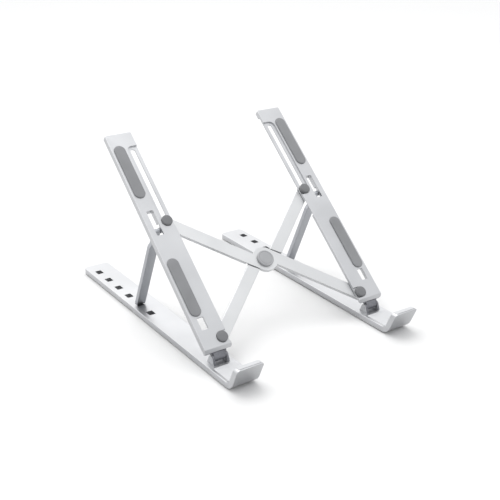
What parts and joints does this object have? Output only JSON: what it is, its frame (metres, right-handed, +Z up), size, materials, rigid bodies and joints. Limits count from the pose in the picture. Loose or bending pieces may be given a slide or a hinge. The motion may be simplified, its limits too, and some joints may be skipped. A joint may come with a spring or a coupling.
{
  "type": "laptop stand",
  "caption": "Folding laptop stand: flat rails with front hooks, tilted arms on struts that seat in rail slots, and scissor crossbars that fold it narrow.",
  "frame": {"origin": "centre of the stand's footprint, on the desk", "axes": "+X to the right and across the stand, +Y back from the front hooks, +Z up"},
  "size_m": [0.162, 0.2364, 0.1355],
  "materials": {
    "frame_metal": "fine bead-blasted, clear anodised silver",
    "bar_metal": "fine bead-blasted, clear anodised silver",
    "strut_metal": "fine bead-blasted, clear anodised silver",
    "dark_leaf": "satin gray",
    "silicone_pad": "matte moulded silicone",
    "liner_silicone": "matte moulded silicone",
    "cap_silicone": "matte moulded silicone",
    "hub_silicone": "satin moulded silicone, plain",
    "steel_pin": "turned, satin",
    "washer_nylon": "moulded nylon"
  },
  "bodies": {
    "left_base": {"left_rail": "frame_metal", "left_front_foot": "silicone_pad", "left_rear_foot": "silicone_pad", "left_hook_liner": "liner_silicone", "left_hinge_bracket": "frame_metal", "left_hinge_pin": "steel_pin", "left_bracket_pin": "steel_pin"},
    "left_upper": {"left_arm": "frame_metal", "left_hinge_leaf": "dark_leaf", "left_leaf_rivets": "steel_pin", "left_lower_pad": "silicone_pad", "left_upper_pad": "silicone_pad", "left_pivot_pin": "steel_pin", "left_pivot_cap": "cap_silicone", "left_strut_pin": "steel_pin"},
    "left_strut": {"left_strut": "strut_metal"},
    "right_base": {"right_rail": "frame_metal", "right_front_foot": "silicone_pad", "right_rear_foot": "silicone_pad", "right_hook_liner": "liner_silicone", "right_hinge_bracket": "frame_metal", "right_hinge_pin": "steel_pin", "right_bracket_pin": "steel_pin"},
    "right_upper": {"right_arm": "frame_metal", "right_hinge_leaf": "dark_leaf", "right_leaf_rivets": "steel_pin", "right_lower_pad": "silicone_pad", "right_upper_pad": "silicone_pad", "right_pivot_pin": "steel_pin", "right_pivot_cap": "cap_silicone", "right_strut_pin": "steel_pin"},
    "right_strut": {"right_strut": "strut_metal"},
    "under_bar": {"under_crossbar": "bar_metal", "right_slide_pin": "steel_pin", "right_slide_cap": "cap_silicone", "hub_washer": "washer_nylon"},
    "over_bar": {"over_crossbar": "bar_metal", "left_slide_pin": "steel_pin", "left_slide_cap": "cap_silicone", "hub_rivet": "steel_pin", "hub_cap": "hub_silicone"}
  },
  "joints": [
    {"name": "left_arm_tilt", "type": "hinge", "parent": "left_base", "child": "left_upper", "pos_m": [-0.07, -0.07835, 0.009], "axis": [1, 0, 0], "range_deg": [0, 60]},
    {"name": "left_strut_swing", "type": "hinge", "parent": "left_upper", "child": "left_strut", "pos_m": [-0.07, -0.00133, 0.07768], "axis": [1, 0, 0], "range_deg": [-72, 0]},
    {"name": "width_fold", "type": "hinge", "parent": "left_upper", "child": "under_bar", "pos_m": [-0.0638, -0.06986, 0.01625], "axis": [0, -0.6494, 0.7604], "range_deg": [0, 49.21]},
    {"name": "hub_fold", "type": "hinge", "parent": "under_bar", "child": "over_bar", "pos_m": [0, -0.03309, 0.04766], "axis": [0, -0.6494, 0.7604], "range_deg": [-98.42, 0]},
    {"name": "right_width_fold", "type": "hinge", "parent": "over_bar", "child": "right_upper", "pos_m": [0.0638, -0.06986, 0.01625], "axis": [0, -0.6494, 0.7604], "range_deg": [0, 49.21]},
    {"name": "right_arm_tilt", "type": "hinge", "parent": "right_upper", "child": "right_base", "pos_m": [0.07, -0.07835, 0.009], "axis": [1, 0, 0], "range_deg": [-60, 0]},
    {"name": "right_strut_swing", "type": "hinge", "parent": "right_upper", "child": "right_strut", "pos_m": [0.07, -0.00133, 0.07768], "axis": [1, 0, 0], "range_deg": [-72, 0]}
  ],
  "couplings": [
    {"joint": "left_strut_swing", "follows": "left_arm_tilt", "ratio": -1.2},
    {"joint": "hub_fold", "follows": "width_fold", "ratio": -2},
    {"joint": "right_width_fold", "follows": "width_fold", "ratio": 1},
    {"joint": "right_arm_tilt", "follows": "left_arm_tilt", "ratio": -1},
    {"joint": "right_strut_swing", "follows": "left_arm_tilt", "ratio": -1.2}
  ]
}
